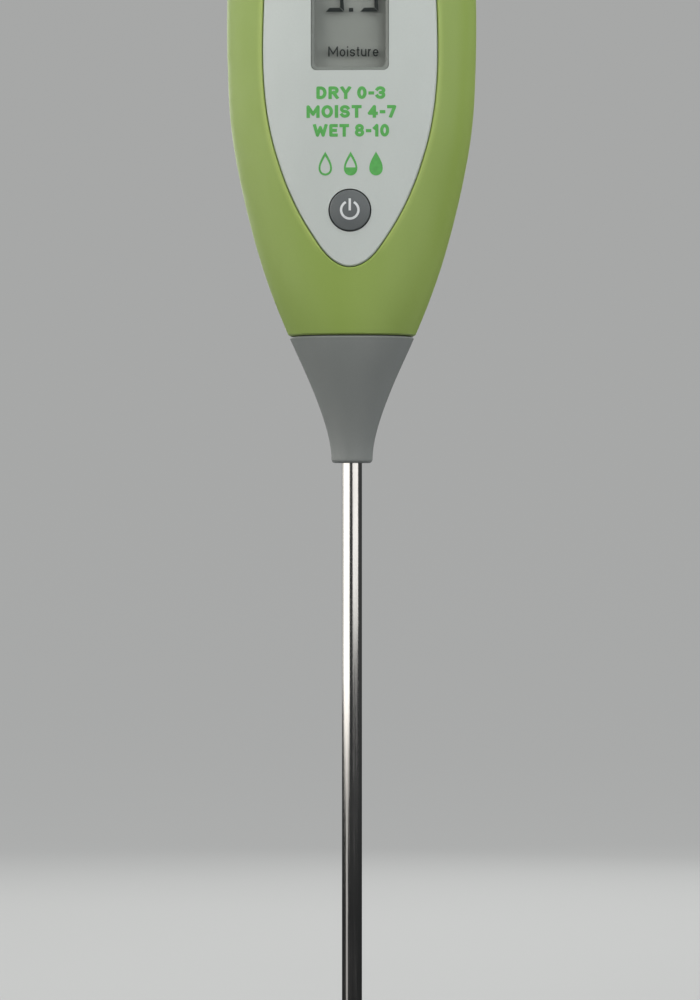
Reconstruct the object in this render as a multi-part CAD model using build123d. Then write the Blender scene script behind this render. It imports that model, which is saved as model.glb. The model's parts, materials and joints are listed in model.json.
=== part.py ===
"""Hand-held soil moisture meter: a moulded handle with a numeric display and a power button, a grey nose cone and a
long stainless probe with an insulated tip electrode.

Frame: +Z runs up the probe axis, the face looks along -Y, +X is to the right of someone reading the display.
The origin is on the probe axis, at the nose cone's lower face, where the probe leaves the handle. Millimetres."""

from build123d import *
from math import cos, sin, pi, copysign, sqrt
import os

os.makedirs("parts", exist_ok=True)

# ---------------------------------------------------------------- driving dimensions
CROWN_Z = 118.0          # top of the handle
CROWN_R = 72.0           # radius of the arc across the top, seen from the front
CROWN_FILLET = 6.2       # rounding of the top edge
SEAM_Z = 25.2            # joint between the nose cone and the two shells
SEAM_GAP = 0.26          # visible groove at that joint
SPLIT_Y = 1.0            # plane where the front and rear shells meet
SPLIT_GAP = 0.12         # visible groove at that plane
WALL = 1.8               # shell wall
PLATE_BACK_Y = -10.30    # flat back of the face plate
FLOOR_Y0, FLOOR_Y1 = -10.24, -9.20   # front shell's floor under the face plate
PLATE_GAP = 0.2          # groove round the face plate

SECTION_POINTS = 24

# half width, half depth and squareness of the handle at each height
PROFILE = [
    (0.0, 4.10, 4.10, 2.0), (2.2, 4.20, 4.20, 2.0), (5.6, 4.78, 4.75, 2.0), (11.4, 6.60, 6.35, 2.0),
    (17.1, 8.90, 8.20, 2.05), (21.2, 10.75, 9.45, 2.12), (25.2, 12.55, 10.40, 2.2), (32.0, 15.35, 11.30, 2.4),
    (41.4, 18.55, 11.85, 2.6), (51.0, 21.10, 12.15, 2.8), (60.6, 23.10, 12.35, 3.0), (73.0, 24.50, 12.50, 3.1),
    (85.0, 24.85, 12.50, 3.2), (95.0, 24.72, 12.50, 3.2), (103.0, 24.15, 12.50, 3.2), (110.0, 23.00, 12.50, 3.2),
    (116.0, 21.50, 12.50, 3.2), (122.0, 19.60, 12.50, 3.2)]

# half width of the face plate at each height, from its lower tip to its top corners
FACE = [
    (38.68, 0.0), (39.37, 2.46), (40.65, 4.17), (43.8, 6.63), (46.95, 8.65), (50.1, 10.39), (53.25, 11.85),
    (56.4, 13.11), (59.55, 14.15), (62.7, 15.08), (65.86, 15.81), (69.01, 16.37), (72.16, 16.76), (75.31, 17.02),
    (78.46, 17.17), (81.61, 17.21), (84.76, 17.17), (91.06, 16.96), (96.38, 16.6), (101.3, 15.96), (105.73, 14.78),
    (108.98, 12.61), (111.05, 9.46), (112.03, 4.92), (112.33, 0.0)]

# display
WINDOW_W, WINDOW_H, WINDOW_Z = 15.4, 21.7, 88.1     # opening in the face plate, and the height of its centre
WINDOW_R = 1.1
GLASS_W, GLASS_H, GLASS_T = 20.2, 27.0, 2.4
GLASS_FRONT_Y = -8.8

# board
BOARD_FRONT_Y, BOARD_T = -4.4, 1.2
BOARD_BACK_Y = BOARD_FRONT_Y + BOARD_T
BOARD_SCREWS = [(-10.6, 69.4), (10.6, 69.4), (0.0, 106.5)]

# button
BUTTON_Z = 49.7
BUTTON_R, BUTTON_HOLE_R = 4.02, 4.24
BUTTON_TRAVEL = 0.9

# probe
PROBE_R, PROBE_BORE_R = 2.0, 1.4
TUBE_END_Z = -160.0      # lower end of the tube
TIP_SHOULDER_Z = -163.0  # insulator / tip joint
TIP_CONE_Z = -171.0      # where the point begins
TIP_END_Z = -178.0

# battery bay
CELL_R, CELL_L = 5.25, 44.5
CELL_Y, CELL_Z0 = 5.15, 61.5
DOOR_HALF_W, DOOR_Z0 = 8.5, 55.2
DOOR_GAP = 0.15
SHELL_SCREWS = [(-17.3, 98.0), (17.3, 98.0), (-8.8, 37.0), (8.8, 37.0)]


# ---------------------------------------------------------------- helpers
def block(x0, x1, y0, y1, z0, z1):
    return Solid.make_box(x1 - x0, y1 - y0, z1 - z0, Plane(origin=(x0, y0, z0)))


def rod_y(r, y0, y1, x, z):
    return Solid.make_cylinder(r, y1 - y0, Plane(origin=(x, y0, z), x_dir=(1, 0, 0), z_dir=(0, 1, 0)))


def rod_z(r, z0, z1, x=0.0, y=0.0):
    return Solid.make_cylinder(r, z1 - z0, Plane(origin=(x, y, z0)))


def one(shape):
    """The largest solid of a boolean's result."""
    return max(shape.solids(), key=lambda s: s.volume)


def chamfer_some(shape, size, edges):
    """Chamfer the edges together, or leave the shape as it is where that can't be done."""
    for cut in (size, size * 0.7):
        try:
            out = shape.chamfer(cut, None, edges)
            if out.is_valid:
                return out
        except Exception:
            pass
    print("chamfer left out on", len(edges), "edges", [round(e.length, 1) for e in edges])
    return shape


def fuse(*shapes):
    out = shapes[0]
    for s in shapes[1:]:
        out = out + s
    return out


def section(z, a, b, n, inset):
    """Closed superellipse at height z; its points are spread between even angle and even spacing."""
    a, b = a - inset, b - inset

    def point(t):
        c, s = cos(t), sin(t)
        return a * copysign(abs(c) ** (2 / n), c), b * copysign(abs(s) ** (2 / n), s)

    steps = 400                       # one quadrant, finely
    ts = [pi / 2 * i / steps for i in range(steps + 1)]
    arc = [0.0]
    for t0, t1 in zip(ts, ts[1:]):
        (x0, y0), (x1, y1) = point(t0), point(t1)
        arc.append(arc[-1] + sqrt((x1 - x0) ** 2 + (y1 - y0) ** 2))
    quarter = []
    for k in range(SECTION_POINTS // 4):
        want = (k + 0.5) / (SECTION_POINTS // 4)
        i = next(i for i in range(steps + 1) if 0.6 * arc[i] / arc[-1] + 0.4 * i / steps >= want)
        quarter.append(point(ts[i]))
    pts = quarter + [(-x, y) for x, y in reversed(quarter)] + [(-x, -y) for x, y in quarter] + [(x, -y) for x, y in reversed(quarter)]
    return Wire([Edge.make_spline([Vector(x, y, z) for x, y in pts], periodic=True)])


_handles = {}


def handle(inset):
    """The whole handle's outer form, from the nose to the crown, drawn in by inset."""
    if inset in _handles:
        return _handles[inset]
    tube = Solid.make_loft([section(z, a, b, n, inset) for z, a, b, n in PROFILE])
    crown = CROWN_Z - inset
    r = CROWN_R - inset
    disc = Solid.make_cylinder(r, 60, Plane(origin=(0, -30, crown - r), x_dir=(1, 0, 0), z_dir=(0, 1, 0)))
    body = one(tube & disc)
    edges = [e for e in body.edges() if e.bounding_box().min.Z > 105]
    body = body.fillet(max(CROWN_FILLET - inset, 0.8), edges)
    _handles[inset] = body
    return body


def skin(outer_inset, inner_inset):
    return handle(outer_inset) - handle(inner_inset)


def face_outline(grow):
    """Closed outline of the face plate in the XZ plane, grown outwards by grow."""
    right = [(w, z) for z, w in FACE]
    pts = right + [(-w, z) for w, z in reversed(right[1:-1])]
    n = len(pts)
    moved = []
    for i, (x, z) in enumerate(pts):
        (x0, z0), (x1, z1) = pts[i - 1], pts[(i + 1) % n]
        tx, tz = x1 - x0, z1 - z0
        d = sqrt(tx * tx + tz * tz)
        moved.append(Vector(x + grow * tz / d, 0, z - grow * tx / d))
    return Wire([Edge.make_spline(moved, periodic=True)])


def face_prism(grow, y0=-20.0, y1=0.0):
    f = Face(face_outline(grow))
    solid = Solid.extrude(f, Vector(0, y1 - y0, 0))
    return solid.moved(Location((0, y0, 0)))


def rounded_slab(w, h, r, zc, y0, y1):
    b = block(-w / 2, w / 2, y0, y1, zc - h / 2, zc + h / 2)
    return b.fillet(r, [e for e in b.edges() if abs(e.length - (y1 - y0)) < 1e-6 and abs(e.tangent_at(0.5).Y) > 0.99])


def save(shape, name):
    if isinstance(shape, (list, tuple)):
        shape = Compound(children=list(shape))
    export_step(shape, f"parts/{name}.step")


# ---------------------------------------------------------------- face plate
PLATE_PINS = [(-13.2, 87.0), (13.2, 87.0), (-12.0, 65.0), (12.0, 65.0), (0.0, 42.9)]
plate = handle(0.0) & face_prism(0.0, -20.0, PLATE_BACK_Y)
plate = one(plate) - [rounded_slab(WINDOW_W, WINDOW_H, WINDOW_R, WINDOW_Z, -20, -5), rod_y(BUTTON_HOLE_R, -20, -5, 0, BUTTON_Z)]
plate = one(plate)


def surface_y(x, z, inset=0.0):
    """Depth of the handle's front surface at x, z."""
    for (z0, a0, b0, n0), (z1, a1, b1, n1) in zip(PROFILE, PROFILE[1:]):
        if z0 <= z <= z1:
            t = (z - z0) / (z1 - z0)
            a, b, n = a0 + (a1 - a0) * t, b0 + (b1 - b0) * t, n0 + (n1 - n0) * t
            return -(b - inset) * (1 - (abs(x) / (a - inset)) ** n) ** (1 / n)
    raise ValueError(z)


def rim_edges(shape, grow):
    """The edges of a shape's front surface that follow the face plate's outline, grown outwards by grow."""
    outline = face_outline(grow)
    found = []
    for e in shape.edges():
        if e.length > 1.0 and e.bounding_box().max.Y < PLATE_BACK_Y - 0.15:
            mids = [e.position_at(t) for t in (0.3, 0.5, 0.7)]
            if all(outline.distance_to(Vertex(p.X, 0, p.Z)) < 0.03 for p in mids):
                found.append(e)
    return found


plate = chamfer_some(plate, 0.25, rim_edges(plate, 0.0))
face_plate = one(plate + [rod_y(0.9, PLATE_BACK_Y - 0.3, FLOOR_Y1 + 0.6, x, z) for x, z in PLATE_PINS])
save(face_plate, "face_plate")

# ---------------------------------------------------------------- front shell
above_seam = block(-60, 60, -60, 60, SEAM_Z + SEAM_GAP / 2, 160)
upper_body = one(handle(0.0) & above_seam)
upper_body = chamfer_some(upper_body, 0.3, [e for e in upper_body.edges() if e.bounding_box().max.Z < SEAM_Z + 0.2])
front_zone = block(-60, 60, -60, SPLIT_Y - SPLIT_GAP / 2, SEAM_Z + SEAM_GAP / 2, 160)
rear_zone = block(-60, 60, SPLIT_Y + SPLIT_GAP / 2, 60, SEAM_Z + SEAM_GAP / 2, 160)

RIB_Z = 28.0             # rib of both shells that drops into the nose cone's groove
LENS_FLANGE_Y0, LENS_FLANGE_Y1 = -10.26, -9.74
SHELL_BOSS_Y = 2.0
# a flat floor under the face plate's pocket
pocket = face_prism(PLATE_GAP, -20.0, FLOOR_Y0)
inside = (handle(WALL) & front_zone) - face_prism(1.6, -20.0, FLOOR_Y1)
front = one((upper_body & front_zone) - [pocket, inside])
front = chamfer_some(front, 0.25, rim_edges(front, PLATE_GAP))
# tongue that locates in the rear shell, left out where the battery door ends
tongue = skin(0.95, WALL + 0.25) & block(-60, 60, SPLIT_Y - 2.2, SPLIT_Y + 1.1, SEAM_Z + 6.0, 160)
tongue = tongue - block(-10.6, 10.6, -60, 60, 100, 160)
rib = skin(WALL - 0.3, 2.65) & block(-60, 60, -60, 60, RIB_Z - 0.5, RIB_Z + 0.5)
bosses = []
for x, z in BOARD_SCREWS:
    bosses.append(rod_y(2.2, FLOOR_Y1 - 0.5, BOARD_FRONT_Y, x, z))
for x, z in SHELL_SCREWS:
    bosses.append((rod_y(2.9, -12.4, SHELL_BOSS_Y - 0.05, x, z) & handle(1.0)) - pocket)
front = front + [tongue, rib & front_zone, *bosses]
cuts = [
    rounded_slab(WINDOW_W, WINDOW_H, WINDOW_R, WINDOW_Z, -20, -5),     # its opening
    rounded_slab(17.9, 24.4, 1.6, WINDOW_Z, -20, LENS_FLANGE_Y1),      # pocket for the lens
    rod_y(BUTTON_HOLE_R + 0.05, -20, -5, 0, BUTTON_Z),
    rod_y(5.6, FLOOR_Y1, -5.0, 0, BUTTON_Z),                           # room for the button's flange
]
cuts += [rod_y(1.0, -20, -2, x, z) for x, z in PLATE_PINS]
cuts += [rod_y(1.0, BOARD_FRONT_Y - 4.2, BOARD_FRONT_Y + 1, x, z) for x, z in BOARD_SCREWS]
cuts += [rod_y(1.2, -6.0, SHELL_BOSS_Y + 1, x, z) for x, z in SHELL_SCREWS]
front_shell = one(front - cuts)
save(front_shell, "front_shell")

# ---------------------------------------------------------------- rear shell, with the battery bay
BAY_FLOOR_Y0, BAY_FLOOR_Y1 = -1.2, -0.2
BAY_X0, BAY_X1 = 9.4, 10.4
BAY_Z0, BAY_Z1 = 55.5, 115.4
TAIL_POS = (3.2, 5.0, 106.7, 107.1)      # x0, x1, z0, z1 of the contact strips' tails
TAIL_NEG = (-5.0, -3.2, 56.6, 57.0)
rear = (upper_body & rear_zone) - [
    handle(WALL) & block(-60, 60, -5, 60, 10, 160),
    skin(0.85, WALL + 0.5) & block(-60, 60, SPLIT_Y, SPLIT_Y + 1.3, SEAM_Z + 5.8, 160),       # rebate for the tongue
    block(-DOOR_HALF_W - DOOR_GAP, DOOR_HALF_W + DOOR_GAP, SPLIT_Y, 60, DOOR_Z0 - DOOR_GAP, 160),
]
walls = fuse(
    block(-BAY_X1, BAY_X1, BAY_FLOOR_Y0, BAY_FLOOR_Y1, BAY_Z0, BAY_Z1),
    block(-BAY_X1, -BAY_X0, BAY_FLOOR_Y0, 12, BAY_Z0, BAY_Z1),
    block(BAY_X0, BAY_X1, BAY_FLOOR_Y0, 12, BAY_Z0, BAY_Z1),
    block(-BAY_X1, BAY_X1, BAY_FLOOR_Y0, 8.3, BAY_Z0, BAY_Z0 + 1.0),
    block(-BAY_X1, BAY_X1, BAY_FLOOR_Y0, 8.3, 107.2, 108.2),
    block(-BAY_X1, BAY_X1, 8.2, 12, BAY_Z0 - 2.2, BAY_Z0 - DOOR_GAP - 0.2),
    # ledges the door's tongues run on
    block(-BAY_X0 - 0.1, -8.5, 7.3, 8.4, 56.6, 107.0),
    block(8.5, BAY_X0 + 0.1, 7.3, 8.4, 56.6, 107.0),
)
# cradles that hold the cell
cradles = [block(-BAY_X0 - 0.05, BAY_X0 + 0.05, BAY_FLOOR_Y1 - 0.1, 3.6, z - 0.6, z + 0.6) for z in (70.0, 96.0)]
walls = (walls + cradles) - [rod_z(CELL_R + 0.12, 68, 98, 0, CELL_Y)] - [
    block(x0 - 0.15, x1 + 0.15, BAY_FLOOR_Y0 - 0.5, BAY_FLOOR_Y1 + 0.5, z0 - 0.12, z1 + 0.12) for x0, x1, z0, z1 in (TAIL_POS, TAIL_NEG)]
lower, upper = handle(WALL + 0.5), handle(WALL - 0.2)
walls = (walls & (lower & block(-60, 60, -60, SPLIT_Y + SPLIT_GAP, 0, 160))) + (walls & (upper & rear_zone))
bosses = [rod_y(3.3, SHELL_BOSS_Y + 0.05, 13, x, z) & handle(0.6) for x, z in SHELL_SCREWS]
rear = rear + [walls, rib & rear_zone, *bosses]
cuts = [block(-9.4, 9.4, 8.5, 9.8, 56.9, 160)]          # the tongues leave through the crown
cuts += [rod_y(1.4, SHELL_BOSS_Y - 1, 14, x, z) for x, z in SHELL_SCREWS] + [rod_y(2.45, 7.6, 14, x, z) for x, z in SHELL_SCREWS]
rear_shell = one(rear - cuts)
save(rear_shell, "rear_shell")

# ---------------------------------------------------------------- battery door
door_zone = block(-DOOR_HALF_W, DOOR_HALF_W, SPLIT_Y + SPLIT_GAP / 2, 60, DOOR_Z0, 160)
door = (handle(0.0) & door_zone) - (handle(WALL) & block(-30, 30, -5, 30, 40, 160))
rails = []
for s in (-1, 1):
    x_in, x_out = sorted((s * 7.0, s * 8.2))
    rails.append(block(x_in, x_out, 8.6, 10.9, 57.2, 104.0))
    x_in, x_out = sorted((s * 7.0, s * 9.25))
    rails.append(block(x_in, x_out, 8.6, 9.7, 57.2, 104.0))
door = fuse(door, *rails)
# finger ribs and the slide arrow, cut into the back
grips = [block(-5.6, 5.6, 12.5 - 0.42, 14, 61.0 + 1.9 * i - 0.45, 61.0 + 1.9 * i + 0.45) for i in range(6)]
arrow = Solid.extrude(Face(Wire.make_polygon([Vector(-2.6, 14, 74.6), Vector(2.6, 14, 74.6), Vector(0, 14, 79.0)])), Vector(0, -1.85, 0))
door = door - [arrow, *grips]
battery_door = one(door)
save(battery_door, "battery_door")

# ---------------------------------------------------------------- nose cone
nose = handle(0.0) & block(-60, 60, -60, 60, -1, SEAM_Z - SEAM_GAP / 2)
with BuildPart() as nose_round:          # rounds the nose's lower edge
    with BuildSketch(Plane.XZ):
        with BuildLine():
            Polyline((0, 0), (3.4, 0))
            ThreePointArc((3.4, 0), (3.4 + 0.7 * sin(pi / 4), 0.7 * (1 - cos(pi / 4))), (4.1, 0.7))
            Polyline((4.1, 0.7), (30, 0.75), (30, 40), (0, 40), (0, 0))
        make_face()
    revolve(axis=Axis.Z)
nose = one(nose & nose_round.part.solids()[0])
nose = chamfer_some(nose, 0.3, [e for e in nose.edges() if e.bounding_box().min.Z > SEAM_Z - 0.2])
spigot = handle(WALL + 0.14) & block(-60, 60, -60, 60, SEAM_Z - 1.5, 30.6)
nose = nose + spigot
nose = nose - (skin(WALL - 0.5, 2.85) & block(-60, 60, -60, 60, RIB_Z - 0.62, RIB_Z + 0.62))
hollow = handle(WALL + 1.6) & block(-60, 60, -60, 60, 12.0, 31)
nose = nose - hollow
NOSE_BORE_R = 1.82
nose = nose - rod_z(NOSE_BORE_R, -1, 13)
nose_cone = one(nose)
save(nose_cone, "nose_cone")

# ---------------------------------------------------------------- probe
SPIGOT_R = 1.8           # the tube is turned down inside the nose cone
TUBE_TOP_Z = 21.6
tube = fuse(rod_z(PROBE_R, TUBE_END_Z, -0.02), rod_z(SPIGOT_R, -0.5, TUBE_TOP_Z)) - rod_z(PROBE_BORE_R, TUBE_END_Z - 1, TUBE_TOP_Z + 1)
probe_tube = one(tube)
save(probe_tube, "probe_tube")

ring = rod_z(3.25, 12.02, 15.4) - rod_z(SPIGOT_R + 0.01, 11, 17)
ring = ring.chamfer(0.35, None, [e for e in ring.edges() if e.length > 18])
save(one(ring), "probe_collar")

plug = (handle(WALL + 1.66) & block(-60, 60, -60, 60, 15.44, 19.4)) - rod_z(SPIGOT_R + 0.06, 15, 20)
save(one(plug), "collar_plug")

insulator = fuse(rod_z(PROBE_R, TIP_SHOULDER_Z, TUBE_END_Z), rod_z(PROBE_BORE_R - 0.02, TUBE_END_Z - 0.5, -152.0)) - rod_z(0.82, -165, -150)
save(one(insulator), "tip_insulator")

with BuildPart() as tip_b:
    with BuildSketch(Plane.XZ) as s:
        with BuildLine():
            Polyline((0, TIP_SHOULDER_Z), (PROBE_R, TIP_SHOULDER_Z), (PROBE_R, TIP_CONE_Z), (0.42, TIP_END_Z + 0.28), (0.18, TIP_END_Z), (0, TIP_END_Z), (0, TIP_SHOULDER_Z))
        make_face()
    revolve(axis=Axis.Z)
tip = tip_b.part.solids()[0] + rod_z(0.8, TIP_SHOULDER_Z - 0.5, -150.0)
save(one(tip), "probe_tip")


def lead(points, radii, r, name):
    path = FilletPolyline(*points, radius=radii) if radii else Polyline(*points)
    start = Vector(*points[0])
    direction = (Vector(*points[1]) - start).normalized()
    profile = Face(Wire.make_circle(r, Plane(origin=start, z_dir=direction)))
    wire = path.wire() if hasattr(path, "wire") else Wire(path.edges())
    solid = Solid.sweep(profile, wire)
    length = wire.length
    print(name, "length", round(length, 2), "volume ratio", round(solid.volume / (pi * r * r * length), 4), "radii", radii)
    save(solid, name)
    return solid


PAD_Z = 44.6
LEAD_Y = BOARD_BACK_Y + 0.46
lead([(0, 0, -149.96), (0, 0, 27.0), (-2.0, LEAD_Y, 33.5), (-2.0, LEAD_Y, PAD_Z)], [6.0, 6.0], 0.42, "tip_lead")
lead([(2.42, 0, 19.6), (2.42, 0, 27.0), (3.4, LEAD_Y, 33.5), (3.4, LEAD_Y, PAD_Z)], [6.0, 6.0], 0.42, "tube_lead")

# ---------------------------------------------------------------- display
lens = rounded_slab(WINDOW_W - 0.16, WINDOW_H - 0.16, WINDOW_R - 0.05, WINDOW_Z, -11.6, LENS_FLANGE_Y0 + 0.3) + rounded_slab(17.6, 24.1, 1.5, WINDOW_Z, LENS_FLANGE_Y0, LENS_FLANGE_Y1 - 0.01)
save(one(lens), "display_lens")

gasket = rounded_slab(19.2, 25.8, 1.2, WINDOW_Z, FLOOR_Y1 + 0.01, GLASS_FRONT_Y - 0.01) - rounded_slab(16.2, 22.8, 0.9, WINDOW_Z, -12, -8)
save(one(gasket), "display_gasket")

glass = block(-GLASS_W / 2, GLASS_W / 2, GLASS_FRONT_Y, GLASS_FRONT_Y + GLASS_T, WINDOW_Z - 14.0, WINDOW_Z + 13.0)
glass = glass - block(-GLASS_W, GLASS_W, GLASS_FRONT_Y + 1.1, 0, WINDOW_Z - 15, WINDOW_Z - 11.4)
save(one(glass), "display_glass")

strip = block(-9.0, 9.0, GLASS_FRONT_Y + 1.12, BOARD_FRONT_Y - 0.01, WINDOW_Z - 13.6, WINDOW_Z - 11.8)
save(strip, "contact_strip")

holder = block(-11.7, 11.7, FLOOR_Y1 + 0.02, BOARD_FRONT_Y - 0.01, WINDOW_Z - 15.4, WINDOW_Z + 14.4) - block(-10.3, 10.3, -10, 0, WINDOW_Z - 14.2, WINDOW_Z + 13.2)
holder = holder.chamfer(0.4, None, [e for e in holder.edges() if abs(e.tangent_at(0.5).Y) > 0.99 and abs(e.center().X) > 11])
holder = holder + block(-10.35, -8.9, GLASS_FRONT_Y + GLASS_T + 0.02, BOARD_FRONT_Y - 0.01, WINDOW_Z - 9.6, WINDOW_Z + 11.4) + block(8.9, 10.35, GLASS_FRONT_Y + GLASS_T + 0.02, BOARD_FRONT_Y - 0.01, WINDOW_Z - 9.6, WINDOW_Z + 11.4)
save(one(holder), "display_holder")

# ---------------------------------------------------------------- circuit board
half = [(5.6, 42.4), (6.6, 45.0), (11.0, 56.0), (13.2, 67.0), (13.2, 106.0), (10.4, 109.4)]
outline = [Vector(x, BOARD_FRONT_Y, z) for x, z in half] + [Vector(-x, BOARD_FRONT_Y, z) for x, z in reversed(half)]
board = Solid.extrude(Face(Wire.make_polygon(outline)), Vector(0, BOARD_T, 0))
for x, z in BOARD_SCREWS:
    board = board - rod_y(1.15, -8, 0, x, z)
save(one(board), "circuit_board")

blob = rod_y(4.1, BOARD_BACK_Y + 0.005, BOARD_BACK_Y + 1.25, 0, 86.0)
blob = blob.fillet(1.0, [blob.edges().sort_by(Axis.Y)[-1]])
save(one(blob), "controller_chip")

chips = []
for x, z, w, h, t in ((-7, 92, 2.0, 1.2, 0.6), (-7, 89, 2.0, 1.2, 0.6), (-7, 86, 1.6, 0.8, 0.5), (-7, 83, 1.6, 0.8, 0.5), (6.8, 91, 1.2, 2.0, 0.7),
                      (6.8, 87.5, 1.2, 2.0, 0.7), (-3.5, 76, 3.0, 1.6, 1.1), (2.5, 76, 1.6, 0.8, 0.5), (6, 76, 1.6, 0.8, 0.5), (2.2, 66, 1.6, 0.8, 0.5),
                      (-2.2, 66, 1.6, 0.8, 0.5), (5.5, 62.5, 2.9, 2.6, 1.1)):
    chips.append(block(x - w / 2, x + w / 2, BOARD_BACK_Y + 0.005, BOARD_BACK_Y + t, z - h / 2, z + h / 2))
save(chips, "board_components")


def pan_screw(x, z, seat_y, head_r, head_h, shank_r, length):
    """Pan head screw driven towards -Y, its head seated at seat_y, with a cross recess."""
    head = rod_y(head_r, seat_y + 0.005, seat_y + head_h, x, z)
    head = head.fillet(min(0.45, head_h * 0.4), [head.edges().sort_by(Axis.Y)[-1]])
    shank = rod_y(shank_r, seat_y - length + 0.8, seat_y + 0.3, x, z)
    point = Solid.make_cone(0.25, shank_r, 0.8, Plane(origin=(x, seat_y - length, z), x_dir=(1, 0, 0), z_dir=(0, 1, 0)))
    screw = head + shank + point
    w, d = head_r * 0.22, head_h * 0.55
    screw = screw - block(x - head_r * 0.62, x + head_r * 0.62, seat_y + head_h - d, seat_y + head_h + 1, z - w / 2, z + w / 2)
    screw = screw - block(x - w / 2, x + w / 2, seat_y + head_h - d, seat_y + head_h + 1, z - head_r * 0.62, z + head_r * 0.62)
    return one(screw)


save([pan_screw(x, z, BOARD_BACK_Y, 1.8, 1.0, 0.95, 5.0) for x, z in BOARD_SCREWS], "board_screws")
save([pan_screw(x, z, 7.6, 2.2, 1.5, 1.15, 13.0) for x, z in SHELL_SCREWS], "shell_screws")

# ---------------------------------------------------------------- button
FACE_Y = -12.13                      # handle's surface at the button
RIM_Y, CROWN_Y = FACE_Y - 0.25, FACE_Y - 0.75
rise = RIM_Y - CROWN_Y
dome_r = (BUTTON_R ** 2 + rise ** 2) / (2 * rise)
cap = rod_y(BUTTON_R, CROWN_Y - 0.1, -9.05, 0, BUTTON_Z)
ball = Solid.make_sphere(dome_r, Plane(origin=(0, CROWN_Y + dome_r, BUTTON_Z)), angle1=-90, angle2=90, angle3=360)
cap = cap & ball
cap = cap + rod_y(5.2, FLOOR_Y1 + 0.03, -8.3, 0, BUTTON_Z) + rod_y(1.8, -8.6, -6.37, 0, BUTTON_Z)
cap = one(cap)
cap_edge = [e for e in cap.edges() if abs(e.center().Y - RIM_Y) < 0.02 and e.length > 20]
try:
    cap = cap.fillet(0.3, cap_edge)
except Exception as err:
    print("cap fillet left out:", err)
save(one(cap), "power_button")

with BuildPart() as dome_b:
    with BuildSketch(Plane.XY) as s:      # profile: x is the radius, y is the depth
        with BuildLine():
            Polyline((3.7, BOARD_FRONT_Y - 0.01), (5.0, BOARD_FRONT_Y - 0.01), (5.0, -5.05), (4.05, -5.05), (2.6, -6.35), (0, -6.35),
                     (0, -5.9), (2.4, -5.9), (3.7, -4.75), (3.7, BOARD_FRONT_Y - 0.01))
        make_face()
    revolve(axis=Axis.Y)
dome = dome_b.part.solids()[0].moved(Location((0, 0, BUTTON_Z)))
save(dome, "button_dome")
save(rod_y(1.5, -5.89, -5.4, 0, BUTTON_Z), "contact_pill")

# ---------------------------------------------------------------- battery and contacts
can = rod_z(CELL_R, CELL_Z0, CELL_Z0 + CELL_L - 0.9, 0, CELL_Y)
can = can.fillet(0.6, [e for e in can.edges() if e.length > 30 and abs(e.tangent_at(0.5).Z) < 0.1])
cell = can + rod_z(1.9, CELL_Z0 + CELL_L - 1.2, CELL_Z0 + CELL_L, 0, CELL_Y)
save(one(cell), "battery_cell")

x0, x1, z0, z1 = TAIL_POS
positive = block(-4.6, 5.0, 0.3, 8.1, z0, z1) + rod_z(1.7, CELL_Z0 + CELL_L + 0.02, z0 + 0.1, 0, CELL_Y) + block(x0, x1, -2.6, 0.5, z0, z1)
save(one(positive), "battery_contact_positive")

x0, x1, z0, z1 = TAIL_NEG
negative = block(-5.0, 4.6, 0.3, 8.1, z0, z1) + block(x0, x1, -2.6, 0.5, z0, z1)
save(one(negative), "battery_contact_negative")

SPRING_WIRE = 0.3
spring_h = CELL_Z0 - z1 - 2 * SPRING_WIRE - 0.06
helix = Edge.make_helix(pitch=spring_h / 4.0, height=spring_h, radius=3.6, center=(0, CELL_Y, z1 + SPRING_WIRE + 0.03), angle=-18)
helix_wire = Wire([helix])
start = helix_wire.position_at(0)
circle = Face(Wire.make_circle(SPRING_WIRE, Plane(origin=start, z_dir=helix_wire.tangent_at(0))))
spring = Solid.sweep(circle, helix_wire, is_frenet=True)
print("spring", spring.is_valid, round(spring.volume, 2), spring.bounding_box())
save(spring, "battery_spring")

lead([(5.02, -2.2, 106.9), (9.6, -2.2, 106.9), (9.6, -2.2, 101.5), (9.0, LEAD_Y, 96.0)], [2.0, 3.0], 0.42, "battery_lead_positive")
lead([(-5.02, -2.2, 56.8), (-8.4, -2.2, 56.8), (-8.4, -2.2, 61.5), (-8.0, LEAD_Y, 65.5)], [1.5, 3.0], 0.42, "battery_lead_negative")
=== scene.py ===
import bpy, bmesh, json, math
from math import sin, cos, pi, radians, sqrt, atan2
from mathutils import Vector, Matrix
from mathutils.geometry import delaunay_2d_cdt


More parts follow.
